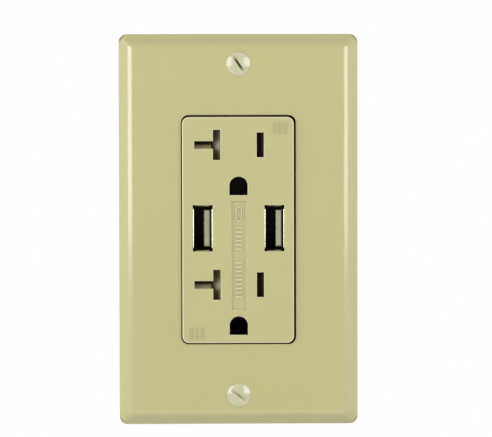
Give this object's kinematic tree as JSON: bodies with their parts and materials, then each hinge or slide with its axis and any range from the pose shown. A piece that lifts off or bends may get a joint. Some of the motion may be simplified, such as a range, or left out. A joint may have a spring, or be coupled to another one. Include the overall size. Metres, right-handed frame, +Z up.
{
  "type": "duplex wall outlet",
  "caption": "Duplex wall outlet with upright USB charging ports between T-slot receptacles, on a steel strap behind an ivory wall plate, with shutters, contacts and side terminals.",
  "frame": {"origin": "centre of the device on the wall plane, midway between the box mounting screws", "axes": "+X right as seen from the room, +Y into the wall along the mounting screws, +Z up along the plate's height"},
  "size_m": [0.0698, 0.0378, 0.1142],
  "materials": {
    "ivory_plate": "smooth gloss ivory thermoplastic",
    "ivory_face": "smooth ivory thermoplastic, a little duller than the plate",
    "ivory_paint": "ivory enamel on steel screw heads",
    "zinc_steel": "zinc-plated steel",
    "strap_steel": "galvanised sheet steel",
    "nickel_steel": "nickel-plated steel",
    "brass": "brass",
    "brass_sheet": "rolled brass sheet",
    "green_screw": "green dyed zinc plating",
    "fibre": "fibre washer",
    "dark_shutter": "dark grey moulded nylon",
    "tray_plastic": "black moulded nylon",
    "spring_steel": "bright spring wire",
    "carrier_plastic": "black glass-filled thermoplastic",
    "body_plastic": "ivory moulded thermoplastic back body",
    "port_steel": "nickel-plated port shell",
    "port_insulator": "olive-grey port insulator",
    "gold_contact": "gold-flashed contact",
    "board": "green solder mask on glass laminate",
    "chip": "black moulded chip package",
    "header": "black header block",
    "sheet_film": "pale insulating film",
    "transformer": "yellow tape over a ferrite core",
    "capacitor_sleeve": "dark shrink sleeve",
    "varistor_blue": "blue dipped coating",
    "capacitor_blue": "light blue dipped coating",
    "fuse": "tan ceramic fuse body",
    "choke": "ferrite drum"
  },
  "bodies": {
    "device": {"face_cover": "ivory_face", "mounting_strap": "strap_steel", "screw_retainers": "fibre", "ground_clip_upper": "brass_sheet", "ground_clip_lower": "brass_sheet", "ground_rivets": "brass", "contact_carrier": "carrier_plastic", "hot_bus": "brass_sheet", "neutral_bus": "brass_sheet", "back_body": "body_plastic", "assembly_screws": "zinc_steel", "usb_board": "board", "usb_control_chip": "chip", "header_housing": "header", "header_pins": "gold_contact", "insulating_sheet": "sheet_film", "power_board": "board", "transformer": "transformer", "bulk_capacitors": "capacitor_sleeve", "output_capacitor": "capacitor_sleeve", "varistor": "varistor_blue", "fuse": "fuse", "y_capacitor": "capacitor_blue", "line_choke": "choke", "bridge_rectifier": "chip", "switching_chip": "chip", "output_diode": "chip", "shutter_tray_upper": "tray_plastic", "blade_spring_upper": "spring_steel", "leg_spring_upper": "spring_steel", "shutter_tray_lower": "tray_plastic", "blade_spring_lower": "spring_steel", "leg_spring_lower": "spring_steel", "usb_shell_left": "port_steel", "usb_tongue_left": "port_insulator", "usb_contacts_left": "gold_contact", "usb_shell_right": "port_steel", "usb_tongue_right": "port_insulator", "usb_contacts_right": "gold_contact"},
    "plate": {"wall_plate": "ivory_plate"},
    "plate_screw_upper": {"plate_screw_upper": "ivory_paint"},
    "blade_shutter_upper": {"blade_shutter_upper": "dark_shutter"},
    "leg_shutter_upper": {"leg_shutter_upper": "dark_shutter"},
    "mounting_screw_upper": {"mounting_screw_upper": "zinc_steel"},
    "hot_clamp_upper": {"hot_clamp_upper": "brass_sheet"},
    "hot_screw_upper": {"hot_screw_upper": "brass"},
    "neutral_clamp_upper": {"neutral_clamp_upper": "nickel_steel"},
    "neutral_screw_upper": {"neutral_screw_upper": "nickel_steel"},
    "plate_screw_lower": {"plate_screw_lower": "ivory_paint"},
    "blade_shutter_lower": {"blade_shutter_lower": "dark_shutter"},
    "leg_shutter_lower": {"leg_shutter_lower": "dark_shutter"},
    "mounting_screw_lower": {"mounting_screw_lower": "zinc_steel"},
    "hot_clamp_lower": {"hot_clamp_lower": "brass_sheet"},
    "hot_screw_lower": {"hot_screw_lower": "brass"},
    "neutral_clamp_lower": {"neutral_clamp_lower": "nickel_steel"},
    "neutral_screw_lower": {"neutral_screw_lower": "nickel_steel"},
    "ground_clamp": {"ground_clamp": "zinc_steel"},
    "ground_screw": {"ground_screw": "green_screw"}
  },
  "joints": [
    {"name": "plate_lift", "type": "slide", "parent": "device", "child": "plate", "axis": [0, -1, 0], "range_m": [0, 0.00714]},
    {"name": "plate_screw_upper_turn", "type": "hinge", "parent": "plate", "child": "plate_screw_upper", "pos_m": [0, -0.0056, 0.04842], "axis": [0, -1, 0], "range_deg": [0, 3240]},
    {"name": "plate_screw_lower_turn", "type": "hinge", "parent": "plate", "child": "plate_screw_lower", "pos_m": [0, -0.0056, -0.04842], "axis": [0, -1, 0], "range_deg": [0, 3240]},
    {"name": "blade_shutter_upper_slide", "type": "slide", "parent": "device", "child": "blade_shutter_upper", "axis": [1, 0, 0], "range_m": [0, 0.0026], "stiffness_N_per_m": 60, "springref_m": -0.003, "deforming": ["blade_spring_upper"]},
    {"name": "leg_shutter_upper_slide", "type": "slide", "parent": "device", "child": "leg_shutter_upper", "axis": [0, 0, -1], "range_m": [0, 0.0027], "stiffness_N_per_m": 60, "springref_m": -0.003, "deforming": ["leg_spring_upper"]},
    {"name": "blade_shutter_lower_slide", "type": "slide", "parent": "device", "child": "blade_shutter_lower", "axis": [1, 0, 0], "range_m": [0, 0.0026], "stiffness_N_per_m": 60, "springref_m": -0.003, "deforming": ["blade_spring_lower"]},
    {"name": "leg_shutter_lower_slide", "type": "slide", "parent": "device", "child": "leg_shutter_lower", "axis": [0, 0, -1], "range_m": [0, 0.0027], "stiffness_N_per_m": 60, "springref_m": -0.003, "deforming": ["leg_spring_lower"]},
    {"name": "mounting_screw_upper_turn", "type": "hinge", "parent": "device", "child": "mounting_screw_upper", "pos_m": [0, -0.0012, 0.04167], "axis": [0, -1, 0], "continuous": true},
    {"name": "mounting_screw_lower_turn", "type": "hinge", "parent": "device", "child": "mounting_screw_lower", "pos_m": [0, -0.0012, -0.04167], "axis": [0, -1, 0], "continuous": true},
    {"name": "hot_clamp_upper_slide", "type": "slide", "parent": "device", "child": "hot_clamp_upper", "axis": [1, 0, 0], "range_m": [0, 0.00238]},
    {"name": "hot_screw_upper_turn", "type": "hinge", "parent": "hot_clamp_upper", "child": "hot_screw_upper", "pos_m": [0.0194, 0.008, 0.0185], "axis": [1, 0, 0], "range_deg": [0, 1080]},
    {"name": "hot_clamp_lower_slide", "type": "slide", "parent": "device", "child": "hot_clamp_lower", "axis": [1, 0, 0], "range_m": [0, 0.00238]},
    {"name": "hot_screw_lower_turn", "type": "hinge", "parent": "hot_clamp_lower", "child": "hot_screw_lower", "pos_m": [0.0194, 0.008, -0.0185], "axis": [1, 0, 0], "range_deg": [0, 1080]},
    {"name": "neutral_clamp_upper_slide", "type": "slide", "parent": "device", "child": "neutral_clamp_upper", "axis": [-1, 0, 0], "range_m": [0, 0.00238]},
    {"name": "neutral_screw_upper_turn", "type": "hinge", "parent": "neutral_clamp_upper", "child": "neutral_screw_upper", "pos_m": [-0.0194, 0.008, 0.0185], "axis": [-1, 0, 0], "range_deg": [0, 1080]},
    {"name": "neutral_clamp_lower_slide", "type": "slide", "parent": "device", "child": "neutral_clamp_lower", "axis": [-1, 0, 0], "range_m": [0, 0.00238]},
    {"name": "neutral_screw_lower_turn", "type": "hinge", "parent": "neutral_clamp_lower", "child": "neutral_screw_lower", "pos_m": [-0.0194, 0.008, -0.0185], "axis": [-1, 0, 0], "range_deg": [0, 1080]},
    {"name": "ground_clamp_slide", "type": "slide", "parent": "device", "child": "ground_clamp", "axis": [0, 0, -1], "range_m": [0, 0.00238]},
    {"name": "ground_screw_turn", "type": "hinge", "parent": "ground_clamp", "child": "ground_screw", "pos_m": [-0.01475, 0.008, -0.0389], "axis": [0, 0, -1], "range_deg": [0, 1080]}
  ],
  "couplings": [
    {"joint": "plate_screw_upper_turn", "follows": "plate_lift", "rad_per_m": 7915.8},
    {"joint": "plate_screw_lower_turn", "follows": "plate_lift", "rad_per_m": 7915.8},
    {"joint": "hot_screw_upper_turn", "follows": "hot_clamp_upper_slide", "rad_per_m": 7915.8},
    {"joint": "hot_screw_lower_turn", "follows": "hot_clamp_lower_slide", "rad_per_m": 7915.8},
    {"joint": "neutral_screw_upper_turn", "follows": "neutral_clamp_upper_slide", "rad_per_m": 7915.8},
    {"joint": "neutral_screw_lower_turn", "follows": "neutral_clamp_lower_slide", "rad_per_m": 7915.8},
    {"joint": "ground_screw_turn", "follows": "ground_clamp_slide", "rad_per_m": 7915.8}
  ]
}
